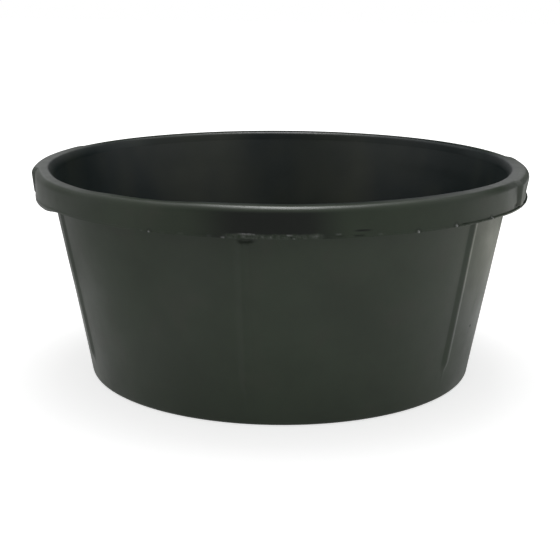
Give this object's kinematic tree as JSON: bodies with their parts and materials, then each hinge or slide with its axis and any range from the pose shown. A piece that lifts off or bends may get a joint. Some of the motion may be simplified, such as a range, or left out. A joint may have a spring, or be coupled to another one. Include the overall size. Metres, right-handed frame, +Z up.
{
  "type": "rubber utility tub",
  "caption": "Low round rubber tub with a tapered ribbed wall, a thick rim band with a grip let in on either side, and a flat foot ring.",
  "frame": {"origin": "middle of the footprint, on the ground, under the tub's own axis", "axes": "+Z up along the tub's axis, +X through the middle of one grip, -Y through one of the wall's ribs"},
  "size_m": [0.5078, 0.5068, 0.216],
  "materials": {
    "bowl_rubber": "satin black moulded rubber with a faint green cast and cloudy wear",
    "rim_rubber": "smooth satin black moulded rubber, greyer where it is rubbed along the crest",
    "grip_rubber": "smooth satin black moulded rubber, slightly duller from handling"
  },
  "bodies": {
    "root": {"tub_bowl": "bowl_rubber", "rim_band": "rim_rubber", "grip_pad_right": "grip_rubber", "grip_pad_left": "grip_rubber"}
  },
  "joints": []
}
